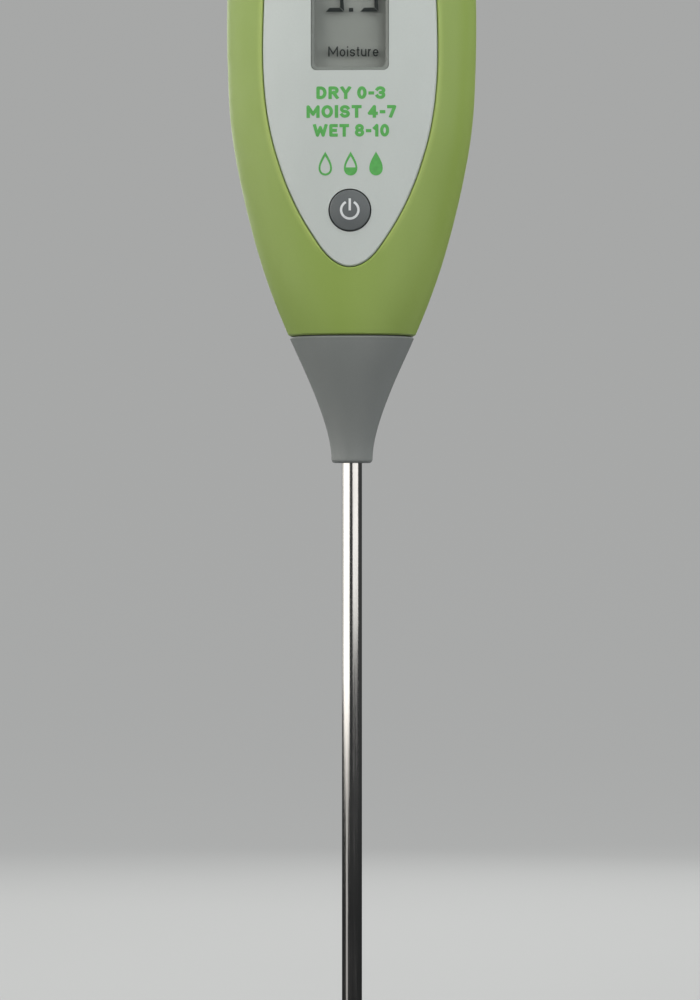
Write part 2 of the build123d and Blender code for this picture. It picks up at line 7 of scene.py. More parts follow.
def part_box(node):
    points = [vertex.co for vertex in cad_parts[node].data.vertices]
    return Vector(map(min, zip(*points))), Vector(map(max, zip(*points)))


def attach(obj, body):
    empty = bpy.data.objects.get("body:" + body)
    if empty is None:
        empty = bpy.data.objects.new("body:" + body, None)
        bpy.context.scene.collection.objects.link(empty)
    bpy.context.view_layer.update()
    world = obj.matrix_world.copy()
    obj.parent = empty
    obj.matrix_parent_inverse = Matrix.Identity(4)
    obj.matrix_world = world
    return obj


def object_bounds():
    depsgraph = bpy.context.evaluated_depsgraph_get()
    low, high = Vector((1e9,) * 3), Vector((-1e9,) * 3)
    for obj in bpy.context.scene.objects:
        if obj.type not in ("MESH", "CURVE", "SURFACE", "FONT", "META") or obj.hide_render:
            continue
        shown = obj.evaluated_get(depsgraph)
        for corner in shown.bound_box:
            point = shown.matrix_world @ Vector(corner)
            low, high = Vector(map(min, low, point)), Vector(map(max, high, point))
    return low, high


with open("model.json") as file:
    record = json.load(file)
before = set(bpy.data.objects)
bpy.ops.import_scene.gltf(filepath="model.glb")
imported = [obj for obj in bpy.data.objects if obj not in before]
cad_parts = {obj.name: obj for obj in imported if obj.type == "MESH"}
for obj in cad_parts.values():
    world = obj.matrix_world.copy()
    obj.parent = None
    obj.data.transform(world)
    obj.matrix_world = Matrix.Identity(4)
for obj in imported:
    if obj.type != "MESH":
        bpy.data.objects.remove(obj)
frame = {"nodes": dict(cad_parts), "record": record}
CAD_BOX = [list(v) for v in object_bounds()]
NODES = frame["nodes"]
MM = 0.001


# ------------------------------------------------------------------ colour helpers
def lin(c):
    return c / 12.92 if c <= 0.04045 else ((c + 0.055) / 1.055) ** 2.4


def srgb(r, g, b, a=1.0):
    return (lin(r / 255), lin(g / 255), lin(b / 255), a)


class Mat:
    """A node material with a Principled surface; helpers add procedural layers to it."""

    def __init__(self, name, base, rough=0.5, metal=0.0, spec=0.5, coat=0.0, coat_rough=0.1, ior=1.5):
        self.m = bpy.data.materials.new(name)
        self.m.use_nodes = True
        self.t = self.m.node_tree
        self.n = self.t.nodes
        self.p = next(x for x in self.n if x.type == "BSDF_PRINCIPLED")
        self.base = base
        self.rough = rough
        p = self.p.inputs
        p["Base Color"].default_value = base
        p["Roughness"].default_value = rough
        p["Metallic"].default_value = metal
        p["Specular IOR Level"].default_value = spec
        p["IOR"].default_value = ior
        p["Coat Weight"].default_value = coat
        p["Coat Roughness"].default_value = coat_rough
        self.coord = self.n.new("ShaderNodeTexCoord")
        self.heights = []
        self.m.diffuse_color = base
        self.m.roughness = rough
        self.m.metallic = metal

    def link(self, a, b):
        self.t.links.new(a, b)

    def node(self, kind, **kw):
        x = self.n.new(kind)
        for k, v in kw.items():
            setattr(x, k, v)
        return x

    def mapped(self, scale=(1, 1, 1)):
        mp = self.node("ShaderNodeMapping")
        mp.inputs["Scale"].default_value = scale
        self.link(self.coord.outputs["Object"], mp.inputs["Vector"])
        return mp.outputs["Vector"]

    def noise(self, scale, detail=2.0, rough=0.5, stretch=(1, 1, 1), distortion=0.0):
        x = self.node("ShaderNodeTexNoise")
        x.inputs["Scale"].default_value = scale
        x.inputs["Detail"].default_value = detail
        x.inputs["Roughness"].default_value = rough
        x.inputs["Distortion"].default_value = distortion
        self.link(self.mapped(stretch), x.inputs["Vector"])
        return x.outputs["Fac"]

    def voronoi(self, scale, feature="F1", stretch=(1, 1, 1)):
        x = self.node("ShaderNodeTexVoronoi", feature=feature)
        x.inputs["Scale"].default_value = scale
        self.link(self.mapped(stretch), x.inputs["Vector"])
        return x.outputs["Distance"]

    def remap(self, fac, lo, hi, to_lo, to_hi):
        x = self.node("ShaderNodeMapRange")
        for k, v in zip(("From Min", "From Max", "To Min", "To Max"), (lo, hi, to_lo, to_hi)):
            x.inputs[k].default_value = v
        self.link(fac, x.inputs["Value"])
        return x.outputs["Result"]

    def mix(self, fac, a, b):
        x = self.node("ShaderNodeMix", data_type="RGBA")
        ins = [i for i in x.inputs if i.type == "RGBA"]
        facin = next(i for i in x.inputs if i.type == "VALUE")
        if isinstance(fac, (int, float)):
            facin.default_value = fac
        else:
            self.link(fac, facin)
        for sock, v in zip(ins, (a, b)):
            if isinstance(v, tuple):
                sock.default_value = v
            else:
                self.link(v, sock)
        return next(o for o in x.outputs if o.type == "RGBA")

    def colour(self, sock):
        self.link(sock, self.p.inputs["Base Color"])
        self.last = sock
        return self

    def roughness(self, sock):
        self.link(sock, self.p.inputs["Roughness"])
        return self

    def bump(self, height, strength=0.2, distance=0.0001, normal=None):
        b = self.node("ShaderNodeBump")
        b.inputs["Strength"].default_value = strength
        b.inputs["Distance"].default_value = distance
        self.link(height, b.inputs["Height"])
        if self.heights:
            self.link(self.heights[-1], b.inputs["Normal"])
        self.heights.append(b.outputs["Normal"])
        self.link(b.outputs["Normal"], self.p.inputs["Normal"])
        return self


def moulded(name, base, dark, light, rough=0.42, grain=9000.0, grain_strength=0.25, coat=0.0, spec=0.5, wave=0.10):
    """Moulded plastic: spark-eroded grain, faint flow mottling and slight changes of gloss."""
    m = Mat(name, base, rough=rough, spec=spec, coat=coat, coat_rough=0.25)
    flow = m.noise(60, detail=3, rough=0.55, stretch=(1, 1, 0.35))
    c = m.mix(m.remap(flow, 0.35, 0.65, 0, 1), dark, light)
    speck = m.noise(2600, detail=1)
    c = m.mix(m.remap(speck, 0.35, 0.75, 0.0, 0.10), c, tuple([x * 0.82 for x in base[:3]] + [1.0]))
    m.colour(c)
    wear = m.noise(240, detail=4, rough=0.6)
    m.roughness(m.remap(wear, 0.3, 0.7, rough - 0.05, rough + 0.06))
    m.bump(m.noise(grain, detail=2, rough=0.55), strength=grain_strength, distance=0.00003)
    m.bump(m.noise(45, detail=1), strength=wave, distance=0.0004)
    return m.m


MATS = {}
GREEN = srgb(152, 172, 92)
MATS["housing_green"] = moulded("moulded_green", GREEN, srgb(148, 172, 83), srgb(155, 178, 92), rough=0.44, grain=7000, grain_strength=0.16, wave=0.04)
MATS["face_plate"] = moulded("moulded_pale_grey", srgb(206, 212, 207), srgb(203, 209, 204), srgb(209, 215, 210), rough=0.40, grain=6500, grain_strength=0.10, wave=0.03)
MATS["nose"] = moulded("moulded_grey", srgb(134, 138, 135), srgb(131, 135, 132), srgb(138, 141, 138), rough=0.47, grain=6500, grain_strength=0.18, wave=0.05)
MATS["holder"] = moulded("moulded_white", srgb(222, 222, 214), srgb(216, 216, 208), srgb(226, 226, 220), rough=0.5)
MATS["insulator"] = moulded("moulded_black_nylon", srgb(34, 34, 35), srgb(30, 30, 31), srgb(40, 40, 41), rough=0.38)
MATS["plug"] = moulded("seal_rubber", srgb(40, 40, 40), srgb(36, 36, 36), srgb(46, 46, 46), rough=0.7)
MATS["foam"] = moulded("foam_black", srgb(24, 24, 24), srgb(20, 20, 20), srgb(32, 32, 32), rough=0.95, grain=2600, grain_strength=0.9, spec=0.2)
MATS["silicone"] = moulded("silicone_grey", srgb(168, 168, 164), srgb(160, 160, 156), srgb(176, 176, 172), rough=0.55)
MATS["carbon"] = moulded("carbon_rubber", srgb(28, 28, 28), srgb(24, 24, 24), srgb(34, 34, 34), rough=0.7)


def button_rubber():
    m = Mat("button_rubber", srgb(100, 104, 104), rough=0.46, spec=0.5)
    n = m.noise(90, detail=3)
    m.colour(m.mix(m.remap(n, 0.35, 0.65, 0, 1), srgb(95, 99, 99), srgb(106, 110, 110)))
    m.roughness(m.remap(m.noise(300, detail=3), 0.3, 0.7, 0.44, 0.56))
    m.bump(m.noise(7000, detail=1), strength=0.15, distance=0.00003)
    return m.m


MATS["button"] = button_rubber()


def stainless():
    """Ground and polished stainless: long draw lines, faint smudges."""
    m = Mat("stainless_polished", srgb(222, 219, 214), rough=0.16, metal=1.0)
    m.p.inputs["Anisotropic"].default_value = 0.35
    smudge = m.noise(55, detail=4, rough=0.6, stretch=(1, 1, 0.25))
    fine = m.noise(4200, detail=2, rough=0.6, stretch=(1, 1, 0.02))
    m.colour(m.mix(m.remap(smudge, 0.35, 0.7, 0, 1), srgb(224, 221, 216), srgb(204, 200, 194)))
    r = m.node("ShaderNodeMath", operation="ADD")
    m.link(m.remap(smudge, 0.35, 0.7, 0.09, 0.17), r.inputs[0])
    m.link(m.remap(fine, 0.3, 0.7, -0.02, 0.05), r.inputs[1])
    m.roughness(r.outputs[0])
    m.bump(fine, strength=0.06, distance=0.00003)
    return m.m


MATS["stainless"] = stainless()


def metal(name, base, rough, dark=None, coarse=120):
    m = Mat(name, base, rough=rough, metal=1.0)
    n = m.noise(coarse, detail=4, rough=0.6)
    m.colour(m.mix(m.remap(n, 0.3, 0.7, 0, 1), base, dark or tuple([x * 0.7 for x in base[:3]] + [1.0])))
    m.roughness(m.remap(n, 0.3, 0.7, rough - 0.06, rough + 0.1))
    m.bump(m.noise(3500, detail=2), strength=0.12, distance=0.00002)
    return m.m


MATS["screw_steel"] = metal("screw_zinc", srgb(186, 188, 190), 0.32)
MATS["spring_steel"] = metal("spring_nickel", srgb(205, 200, 190), 0.22)
MATS["contact_plate"] = metal("contact_nickel", srgb(200, 196, 182), 0.28)
MATS["brass"] = metal("brass_turned", srgb(200, 164, 92), 0.24)


def flat(name, base, rough=0.5, spec=0.5, vary=0.06, scale=200.0, coat=0.0):
    m = Mat(name, base, rough=rough, spec=spec, coat=coat)
    n = m.noise(scale, detail=3)
    lo = tuple([x * (1 - vary) for x in base[:3]] + [1.0])
    hi = tuple([min(1.0, x * (1 + vary)) for x in base[:3]] + [1.0])
    m.colour(m.mix(m.remap(n, 0.35, 0.65, 0, 1), lo, hi))
    m.roughness(m.remap(n, 0.3, 0.7, max(0.02, rough - 0.05), rough + 0.05))
    m.bump(m.noise(scale * 12, detail=1), strength=0.05, distance=0.00003)
    return m.m


MATS["epoxy"] = flat("epoxy_black", srgb(22, 22, 23), 0.18, coat=0.3)
MATS["wire_red"] = flat("wire_red", srgb(176, 34, 28), 0.35)
MATS["wire_black"] = flat("wire_black", srgb(26, 26, 27), 0.35)
MATS["elastomer"] = flat("elastomer_pink", srgb(214, 168, 172), 0.55)
MATS["components"] = flat("components", srgb(96, 82, 66), 0.4, vary=0.3, scale=90)


def board_material():
    m = Mat("board_green", srgb(24, 92, 52), rough=0.35, coat=0.2)
    w = m.node("ShaderNodeTexWave", wave_type="BANDS", bands_direction="X")
    w.inputs["Scale"].default_value = 260
    w.inputs["Distortion"].default_value = 3.0
    w.inputs["Detail"].default_value = 1.0
    m.link(m.mapped((1, 1, 0.3)), w.inputs["Vector"])
    m.colour(m.mix(m.remap(w.outputs["Fac"], 0.7, 0.8, 0, 1), srgb(20, 84, 46), srgb(36, 112, 62)))
    m.bump(w.outputs["Fac"], strength=0.2, distance=0.00004)
    return m.m


MATS["pcb"] = board_material()


def cell_material():
    """AAA sleeve: black body with a copper-coloured band at the positive end."""
    m = Mat("cell_sleeve", srgb(40, 42, 46), rough=0.28, metal=0.0, coat=0.5, coat_rough=0.08)
    sep = m.node("ShaderNodeSeparateXYZ")
    m.link(m.coord.outputs["Object"], sep.inputs[0])
    up = m.node("ShaderNodeMath", operation="GREATER_THAN")
    up.inputs[1].default_value = 0.0935
    m.link(sep.outputs["Z"], up.inputs[0])
    c = m.mix(up.outputs[0], srgb(34, 36, 40), srgb(176, 122, 66))
    n = m.noise(150, detail=3)
    c = m.mix(m.remap(n, 0.3, 0.7, 0, 0.12), c, srgb(90, 90, 92))
    m.colour(c)
    m.bump(m.noise(1800, detail=2), strength=0.08, distance=0.00003)
    return m.m


MATS["cell"] = cell_material()


def lcd_material():
    """Reflective liquid crystal panel: matt grey-green with a faint directional grain, painted paler than the real
    panel to offset the shade of the window's recess and the clear layers in front of it.
    """
    m = Mat("lcd_panel_painted_paler", srgb(172, 177, 170), rough=0.42, spec=0.35)
    g = m.noise(5200, detail=2, stretch=(1, 1, 0.25))
    big = m.noise(70, detail=2)
    # these greys are painted paler than the panel's own colour, to offset the shade on it
    c = m.mix(m.remap(big, 0.3, 0.7, 0, 1), srgb(169, 174, 167), srgb(176, 181, 174))
    c = m.mix(m.remap(g, 0.3, 0.7, 0, 0.14), c, srgb(152, 158, 150))
    m.colour(c)
    m.bump(g, strength=0.05, distance=0.00002)
    return m.m


MATS["lcd"] = lcd_material()


def lens_material():
    """Clear acrylic: nearly all light passes, with a little gloss and the faint haze that handling leaves."""
    m = Mat("lens_clear", (0.05, 0.055, 0.05, 1), rough=0.05, spec=0.5, ior=1.49)
    m.p.inputs["Alpha"].default_value = 0.025
    n = m.noise(220, detail=3)
    m.roughness(m.remap(n, 0.3, 0.7, 0.02, 0.08))
    m.colour(m.mix(m.remap(n, 0.3, 0.7, 0, 1), (0.03, 0.035, 0.03, 1), (0.08, 0.085, 0.08, 1)))
    return m.m


MATS["lens_clear"] = lens_material()

SLOTS = {s["node"]: s["material_slot"] for s in frame["record"]["subparts"]}


def dress(obj, mat):
    obj.data.materials.clear()
    obj.data.materials.append(mat)


for name, obj in NODES.items():
    dress(obj, MATS[SLOTS[name]])


# ------------------------------------------------------------------ geometry helpers
def new_object(name, bm_or_mesh, mat, body):
    if isinstance(bm_or_mesh, bmesh.types.BMesh):
        me = bpy.data.meshes.new(name)
        bm_or_mesh.to_mesh(me)
        bm_or_mesh.free()
    else:
        me = bm_or_mesh
    ob = bpy.data.objects.new(name, me)
    bpy.context.scene.collection.objects.link(ob)
    me.materials.clear()
    me.materials.append(mat)
    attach(ob, body)
    return ob


def prism(bm, outline, y0, y1, bevel=0.0):
    """Closed prism between y0 (front, smaller y) and y1, from a counter-clockwise outline of (x, z) seen from the front.
    With a bevel, the front edge is broken inwards by that much."""
    n = len(outline)
    rings = []
    if bevel > 0:
        cx = sum(p[0] for p in outline) / n
        cz = sum(p[1] for p in outline) / n
        inner = inset(outline, bevel)
        rings = [(inner, y0), (outline, y0 + bevel), (outline, y1)]
    else:
        rings = [(outline, y0), (outline, y1)]
    verts = [[bm.verts.new((x, y, z)) for x, z in pts] for pts, y in rings]
    for a, b in zip(verts, verts[1:]):
        for i in range(n):
            j = (i + 1) % n
            bm.faces.new((a[i], b[i], b[j], a[j]))
    bm.faces.new(verts[0])
    bm.faces.new(list(reversed(verts[-1])))


def inset(outline, d):
    n = len(outline)
    out = []
    for i in range(n):
        (x0, z0), (x1, z1), (x2, z2) = outline[i - 1], outline[i], outline[(i + 1) % n]
        a = Vector((x1 - x0, z1 - z0)).normalized()
        b = Vector((x2 - x1, z2 - z1)).normalized()
        na, nb = Vector((-a.y, a.x)), Vector((-b.y, b.x))
        m = na + nb
        if m.length < 1e-9:
            m = na
        m = m.normalized()
        k = d / max(0.35, m.dot(na))
        out.append((x1 + m.x * k, z1 + m.y * k))
    return out


def ccw(outline):
    area = sum(outline[i - 1][0] * outline[i][1] - outline[i][0] * outline[i - 1][1] for i in range(len(outline)))
    return outline if area > 0 else list(reversed(outline))


# ------------------------------------------------------------------ print inks
def ink(name, colour, rough=0.45, lift=0.08):
    m = Mat(name, colour, rough=rough, spec=0.4)
    n = m.noise(900, detail=3, rough=0.6)
    lo = tuple([x * (1 - lift) for x in colour[:3]] + [1.0])
    hi = tuple([min(1.0, x * (1 + lift)) for x in colour[:3]] + [1.0])
    m.colour(m.mix(m.remap(n, 0.35, 0.65, 0, 1), lo, hi))
    m.roughness(m.remap(n, 0.3, 0.7, rough - 0.05, rough + 0.08))
    m.bump(m.noise(5000, detail=1), strength=0.1, distance=0.00002)
    return m.m


INK_GREEN = ink("print_green", srgb(96, 178, 92))
INK_WHITE = ink("print_white", srgb(226, 228, 228), rough=0.5, lift=0.03)
INK_DARK = ink("print_dark", srgb(44, 48, 46), rough=0.5)
SEGMENT = ink("lcd_segment", srgb(40, 46, 44), rough=0.4)

# ------------------------------------------------------------------ display digits
lo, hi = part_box("display_glass")
LCD_Y = lo.y - 0.62e-3            # front of the clear front glass, which carries the segments
REFLECTOR_Y = lo.y
SLANT = math.tan(radians(0.0))
DIGIT_W, DIGIT_H, SEG_T, SEG_GAP = 3.72e-3, 7.2e-3, 0.80e-3, 0.10e-3
lens_lo, lens_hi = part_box("display_lens")
WIN_X, WIN_Z = (lens_lo.x + lens_hi.x) / 2, (lens_lo.z + lens_hi.z) / 2      # middle of the display window
DIGIT_Z0 = WIN_Z + 1.00e-3


def segment_shapes(x0, z0, w, h, t, g):
    """Outlines of the seven segments of one digit, with mitred ends."""
    m = h / 2
    k = t / 2
    return {
        "a": [(x0 + g, z0 + h), (x0 + t + g * 0.5, z0 + h - t), (x0 + w - t - g * 0.5, z0 + h - t), (x0 + w - g, z0 + h)],
        "d": [(x0 + g, z0), (x0 + w - g, z0), (x0 + w - t - g * 0.5, z0 + t), (x0 + t + g * 0.5, z0 + t)],
        "g": [(x0 + g + k * 0.4, z0 + m), (x0 + t + g * 0.4, z0 + m + k), (x0 + w - t - g * 0.4, z0 + m + k), (x0 + w - g - k * 0.4, z0 + m), (x0 + w - t - g * 0.4, z0 + m - k), (x0 + t + g * 0.4, z0 + m - k)],
        "f": [(x0, z0 + h - g), (x0 + t, z0 + h - t - g * 0.5), (x0 + t, z0 + m + k + g * 0.2), (x0 + k * 0.5, z0 + m + g)],
        "e": [(x0, z0 + g), (x0 + k * 0.5, z0 + m - g), (x0 + t, z0 + m - k - g * 0.2), (x0 + t, z0 + t + g * 0.5)],
        "b": [(x0 + w, z0 + h - g), (x0 + w - k * 0.5, z0 + m + g), (x0 + w - t, z0 + m + k + g * 0.2), (x0 + w - t, z0 + h - t - g * 0.5)],
        "c": [(x0 + w, z0 + g), (x0 + w - t, z0 + t + g * 0.5), (x0 + w - t, z0 + m - k - g * 0.2), (x0 + w - k * 0.5, z0 + m - g)],
    }


bm = bmesh.new()
LIT = {"3": "abcdg", "5": "acdfg"}
for digit, x0 in (("3", -4.94e-3), ("5", 1.86e-3)):
    shapes = segment_shapes(WIN_X + x0, DIGIT_Z0, DIGIT_W, DIGIT_H, SEG_T, SEG_GAP)
    for s in LIT[digit]:
        prism(bm, ccw(shapes[s]), LCD_Y - 0.05e-3, LCD_Y + 0.02e-3)
prism(bm, ccw([(WIN_X + x, DIGIT_Z0 + z) for x, z in ((-0.3e-3, 0), (0.58e-3, 0), (0.58e-3, 0.76e-3), (-0.3e-3, 0.76e-3))]), LCD_Y - 0.05e-3, LCD_Y + 0.02e-3)
new_object("display_digits", bm, SEGMENT, "housing")


# ------------------------------------------------------------------ lettering
def arc(cx, cz, rx, rz, a0, a1, n=14):
    return [(cx + rx * cos(radians(a0 + (a1 - a0) * i / n)), cz + rz * sin(radians(a0 + (a1 - a0) * i / n))) for i in range(n + 1)]


# strokes of each letter in a box from 0 to 1 each way, with the box's width against a capital's height
CAPS = {
    "D": (0.76, [[(0, 0), (0, 1), (0.42, 1)] + arc(0.42, 0.5, 0.58, 0.5, 80, -80) + [(0.42, 0), (0, 0)]]),
    "R": (0.76, [[(0, 0), (0, 1), (0.55, 1)] + arc(0.58, 0.75, 0.42, 0.25, 80, -80, 10) + [(0.5, 0.5), (0, 0.5)], [(0.5, 0.5), (1, 0)]]),
    "Y": (0.78, [[(0, 1), (0.5, 0.46), (1, 1)], [(0.5, 0.46), (0.5, 0)]]),
    "M": (0.98, [[(0, 0), (0, 1), (0.5, 0.22), (1, 1), (1, 0)]]),
    "O": (0.86, [arc(0.5, 0.5, 0.5, 0.5, 0, 360, 36)]),
    "I": (0.0, [[(0, 0), (0, 1)]]),
    "S": (0.74, [arc(0.5, 0.75, 0.5, 0.25, 25, 270, 20) + arc(0.5, 0.25, 0.5, 0.25, 90, -155, 20)[1:]]),
    "T": (0.74, [[(0, 1), (1, 1)], [(0.5, 1), (0.5, 0)]]),
    "W": (1.12, [[(0, 1), (0.25, 0), (0.5, 0.8), (0.75, 0), (1, 1)]]),
    "E": (0.66, [[(1, 1), (0, 1), (0, 0), (1, 0)], [(0, 0.5), (0.85, 0.5)]]),
    "0": (0.70, [arc(0.5, 0.5, 0.5, 0.5, 0, 360, 36)]),
    "1": (0.42, [[(0, 0.75), (1, 1), (1, 0)]]),
    "3": (0.70, [arc(0.45, 0.75, 0.55, 0.25, 155, -90, 20) + arc(0.45, 0.25, 0.55, 0.25, 90, -155, 20)[1:]]),
    "4": (0.76, [[(0.72, 0), (0.72, 1), (0, 0.3), (1, 0.3)]]),
    "7": (0.68, [[(0, 1), (1, 1), (0.34, 0)]]),
    "8": (0.72, [arc(0.5, 0.76, 0.45, 0.24, -90, 270, 26), arc(0.5, 0.26, 0.5, 0.26, 90, 450, 26)]),
    "-": (0.42, [[(0, 0.46), (1, 0.46)]]),
    "o": (0.58, [arc(0.5, 0.335, 0.5, 0.335, 0, 360, 30)]),
    "i": (0.0, [[(0, 0), (0, 0.67)], [(0, 0.985), (0, 1.0)]]),
    "s": (0.52, [arc(0.5, 0.50, 0.5, 0.17, 25, 270, 16) + arc(0.5, 0.17, 0.5, 0.17, 90, -155, 16)[1:]]),
    "t": (0.30, [[(0.45, 0.92), (0.45, 0.14), (0.62, 0.02), (0.9, 0.0)], [(0, 0.67), (0.95, 0.67)]]),
    "u": (0.54, [[(0, 0.67), (0, 0.24)] + arc(0.5, 0.24, 0.5, 0.24, 180, 330, 10)[1:], [(1, 0.67), (1, 0)]]),
    "r": (0.32, [[(0, 0), (0, 0.67)], [(0, 0.38)] + arc(0.85, 0.37, 0.85, 0.30, 165, 95, 6)]),
    "e": (0.58, [[(0.02, 0.335), (1, 0.335)] + arc(0.5, 0.335, 0.5, 0.335, 0, 312, 24)[1:]]),
}


def clip(poly, low, high):
    """A convex polygon cut off below low and above high."""
    for sign, limit in ((1, high), (-1, -low)):
        out = []
        for i in range(len(poly)):
            a, b = poly[i - 1], poly[i]
            ina, inb = sign * a[1] <= limit, sign * b[1] <= limit
            if ina != inb:
                t = (limit - sign * a[1]) / (sign * b[1] - sign * a[1])
                out.append((a[0] + (b[0] - a[0]) * t, a[1] + (b[1] - a[1]) * t))
            if inb:
                out.append(b)
        poly = out
        if len(poly) < 3:
            return []
    return poly


def strokes_union(lines, h, low=None, high=None):
    """Polygons of strokes of half width h along each line of points; a closed line has its first point again at its end."""
    polys = []
    for line in lines:
        pts = [Vector(p) for p in line]
        closed = (pts[0] - pts[-1]).length < 1e-6
        for k in range(len(pts) - 1):
            a, b = pts[k].copy(), pts[k + 1].copy()
            d = (b - a).normalized()
            if k == 0 and not closed:
                a -= d * h
            if k == len(pts) - 2 and not closed:
                b += d * h
            n = Vector((-d.y, d.x)) * h
            polys.append([tuple(a - n), tuple(b - n), tuple(b + n), tuple(a + n)])
        for k in (range(0, len(pts) - 1) if closed else range(1, len(pts) - 1)):
            polys.append([(pts[k].x + h * cos(2 * pi * q / 18), pts[k].y + h * sin(2 * pi * q / 18)) for q in range(18)])
    if low is not None:
        polys = [p for p in (clip(q, low, high) for q in polys) if len(p) >= 3]
    return polys


def flat_mesh(polys, place):
    """One flat mesh that covers the polygons once, each point put in place by place(u, v) -> (x, z)."""
    verts, faces = [], []
    for p in polys:
        faces.append(list(range(len(verts), len(verts) + len(p))))
        verts += [Vector(q) for q in p]
    out_v, _, out_f, _, _, sources = delaunay_2d_cdt(verts, [], faces, 1, 1e-5)
    bm = bmesh.new()
    vs = []
    for v in out_v:
        x, z = place(v.x, v.y)
        vs.append(bm.verts.new((x, 0, z)))
    for f, source in zip(out_f, sources):
        if source:
            try:
                bm.faces.new([vs[i] for i in f])
            except ValueError:
                pass
    bmesh.ops.delete(bm, geom=[v for v in bm.verts if not v.link_faces], context="VERTS")
    return bm


def lettering(words, weight, cap, x, z, width=None, gap=0.20, space=0.42):
    """Flat lettering, as one mesh with no overlaps, in the XZ plane: the line's middle is at x and its baseline at z."""
    h = weight / 2
    polys = []
    pen = 0.0
    for ch in words:
        if ch == " ":
            pen += space
            continue
        w, strokes = CAPS[ch]
        w = max(w, 2 * h)
        lines = [[(pen + h + u * (w - 2 * h), h + v * (1 - 2 * h)) for u, v in stroke] for stroke in strokes]
        polys += strokes_union(lines, h, 0.0, 1.0)
        pen += w + gap
    total = pen - gap
    sx = (width / total) if width else cap
    return flat_mesh(polys, lambda u, v: ((u - total / 2) * sx + x, v * cap + z))


def thicken(bm, y0, y1):
    """Gives flat lettering a thickness, from y0 at its front to y1 at its back."""
    for v in bm.verts:
        v.co.y = y1
    res = bmesh.ops.extrude_face_region(bm, geom=list(bm.faces))
    for g in res["geom"]:
        if isinstance(g, bmesh.types.BMVert):
            g.co.y = y0
    bmesh.ops.recalc_face_normals(bm, faces=bm.faces)
    return bm


# the panel's clear front glass stands off the reflector, so the segments shade it
bm = bmesh.new()
gw, gh, gr = 7.5e-3, 10.65e-3, 0.9e-3
outline = []
for sx_, sz_, a_ in ((1, -1, -90), (1, 1, 0), (-1, 1, 90), (-1, -1, 180)):
    for q in range(6):
        t = radians(a_ + 90 * q / 5)
        outline.append((WIN_X + sx_ * (gw - gr) + gr * cos(t), WIN_Z + sz_ * (gh - gr) + gr * sin(t)))
prism(bm, ccw(outline), LCD_Y + 0.02e-3, REFLECTOR_Y - 0.02e-3, bevel=0.08e-3)
bmesh.ops.recalc_face_normals(bm, faces=bm.faces)
new_object("display_front_glass", bm, MATS["lens_clear"], "housing")

# the window's bevelled border, a ring that slopes from the opening's wall down to the lens
BORDER = moulded("display_border", srgb(122, 127, 121), srgb(119, 124, 118), srgb(126, 130, 124), rough=0.3, grain=6500, grain_strength=0.06, wave=0.03)


def rounded(hw, hh, r, y, n=9):
    pts = []
    for sx_, sz_, a_ in ((1, -1, -90), (1, 1, 0), (-1, 1, 90), (-1, -1, 180)):
        for q in range(n):
            t = radians(a_ + 90 * q / (n - 1))
            pts.append((WIN_X + sx_ * (hw - r) + r * cos(t), y, WIN_Z + sz_ * (hh - r) + r * sin(t)))
    return pts


bm = bmesh.new()
rings = [rounded(7.66e-3, 10.81e-3, 1.08e-3, lens_lo.y - 0.02e-3), rounded(7.66e-3, 10.81e-3, 1.08e-3, lens_lo.y - 0.42e-3), rounded(7.54e-3, 10.69e-3, 1.04e-3, lens_lo.y - 0.46e-3),
         rounded(7.10e-3, 10.25e-3, 1.16e-3, lens_lo.y - 0.16e-3), rounded(7.02e-3, 10.17e-3, 1.16e-3, lens_lo.y - 0.10e-3), rounded(7.02e-3, 10.17e-3, 1.16e-3, lens_lo.y - 0.02e-3)]
rows = [[bm.verts.new(p) for p in ring] for ring in rings]
for k in range(len(rows)):
    a, b = rows[k], rows[(k + 1) % len(rows)]
    for i in range(len(a)):
        j = (i + 1) % len(a)
        bm.faces.new((a[i], a[j], b[j], b[i]))
bmesh.ops.recalc_face_normals(bm, faces=bm.faces)
new_object("display_border", bm, BORDER, "housing")

# dark paint on the wall of the shell's opening, between the lens and the panel
bm = bmesh.new()
y0, y1 = lens_hi.y + 0.04e-3, lens_hi.y + 0.52e-3
rows = [[bm.verts.new(p) for p in rounded(w, w + 3.15e-3, r, y)] for w, r, y in ((7.67e-3, 1.08e-3, y0), (7.60e-3, 1.01e-3, y0), (7.60e-3, 1.01e-3, y1), (7.67e-3, 1.08e-3, y1))]
for k in range(4):
    a, b = rows[k], rows[(k + 1) % 4]
    for i in range(len(a)):
        j = (i + 1) % len(a)
        bm.faces.new((a[i], a[j], b[j], b[i]))
bmesh.ops.recalc_face_normals(bm, faces=bm.faces)
new_object("display_opening_paint", bm, BORDER, "housing")

bm = thicken(lettering("Moisture", 0.135, 2.03e-3, WIN_X + 0.6e-3, WIN_Z - 7.85e-3, width=9.95e-3, gap=0.15), LCD_Y - 0.05e-3, LCD_Y + 0.02e-3)
new_object("display_label", bm, SEGMENT, "housing")


# ------------------------------------------------------------------ face printing, laid on the curved plate
def surface_y(x, z):
    """Depth of the face plate's front at x, z, by a ray from the front."""
    ok, at, nrm, idx = NODES["face_plate"].ray_cast(Vector((x, -0.05, z)), Vector((0, 1, 0)))
    return at.y if ok else None


